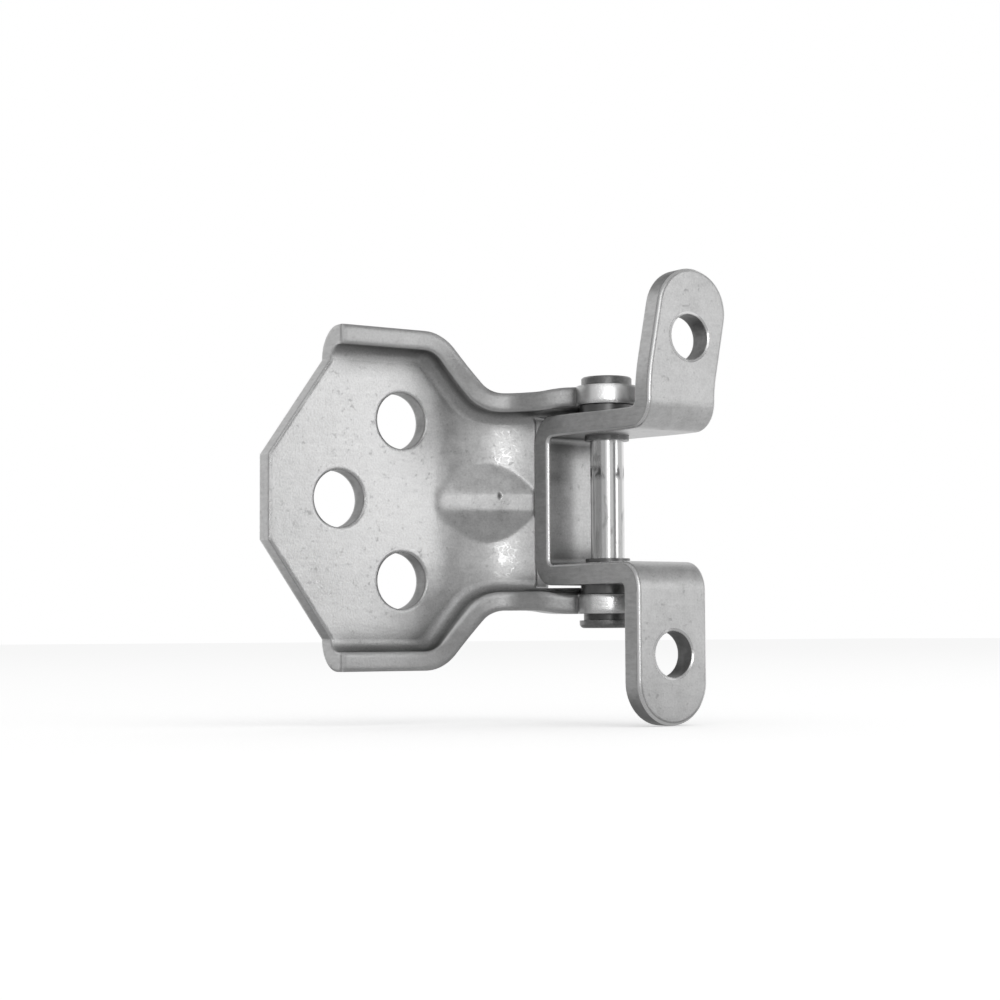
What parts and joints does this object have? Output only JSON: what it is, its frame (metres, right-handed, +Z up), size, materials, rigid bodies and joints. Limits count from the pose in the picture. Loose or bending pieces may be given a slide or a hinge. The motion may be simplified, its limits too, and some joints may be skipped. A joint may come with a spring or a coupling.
{
  "type": "truck door hinge",
  "caption": "Door hinge with a pressed pillar plate, a hat-shaped door strip and a riveted pin in flanged bushes.",
  "frame": {"origin": "on the pillar leaf's back face, at mid height, midway between its two columns of bolt holes", "axes": "+X along the plate towards the pin, +Y into the pillar, +Z up along the pin"},
  "size_m": [0.0932, 0.0555, 0.1053],
  "materials": {
    "zinc_plated_sheet": "satin",
    "zinc_plated_strip": "satin",
    "polished_pin": "polished",
    "dark_washer": "satin",
    "dark_bush": "satin"
  },
  "bodies": {
    "pillar": {"pillar_leaf": "zinc_plated_sheet", "hinge_pin": "polished_pin", "tail_washer": "dark_washer"},
    "door": {"door_leaf": "zinc_plated_strip", "upper_bush": "dark_bush", "lower_bush": "dark_bush"}
  },
  "joints": [
    {"name": "door_swing", "type": "hinge", "parent": "pillar", "child": "door", "pos_m": [0.0495, -0.031, 0], "axis": [0, 0, 1], "range_deg": [0, 90]}
  ]
}
